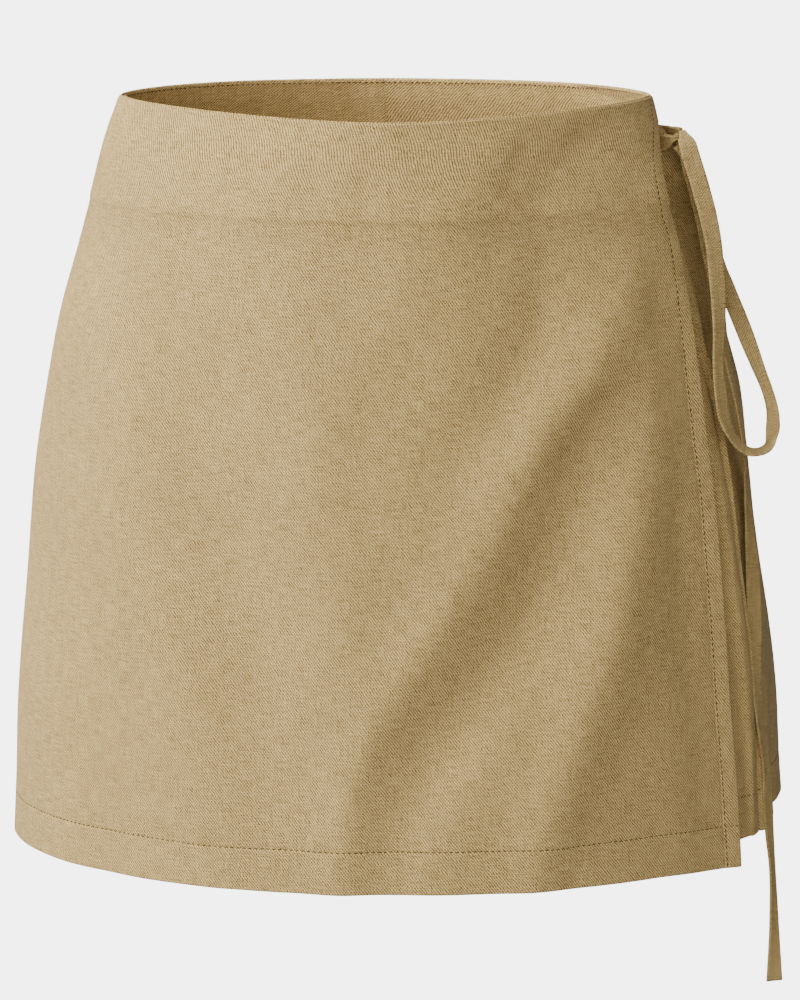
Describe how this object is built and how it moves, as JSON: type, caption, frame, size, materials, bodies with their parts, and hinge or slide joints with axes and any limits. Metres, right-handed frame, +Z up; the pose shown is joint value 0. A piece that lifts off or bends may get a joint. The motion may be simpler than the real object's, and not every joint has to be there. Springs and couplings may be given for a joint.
{
  "type": "wrap skort",
  "caption": "A-line shorts under a plain front wrap panel that closes with a narrow strap tied at the wearer's left side.",
  "frame": {"origin": "centre of the waist opening, level with the top edge at the sides, where the garment is held", "axes": "+Z up through the waist opening, -Y the front of the garment, +X the wearer's left, where it ties"},
  "size_m": [0.4153, 0.2869, 0.471],
  "materials": {
    "twill": "matte fine diagonal twill, warm khaki",
    "twill_facing": "matte fine diagonal twill, the inside of the waist"
  },
  "bodies": {
    "root": {"shorts_front_left": "twill", "shorts_front_right": "twill", "shorts_back_left": "twill", "shorts_back_right": "twill", "wrap_panel": "twill", "tie_knot": "twill", "tie_front_end": "twill", "tie_back_end": "twill", "tie_loop": "twill", "tie_tail": "twill", "facing_front": "twill_facing", "facing_back_left": "twill_facing", "facing_back_right": "twill_facing"}
  },
  "joints": []
}
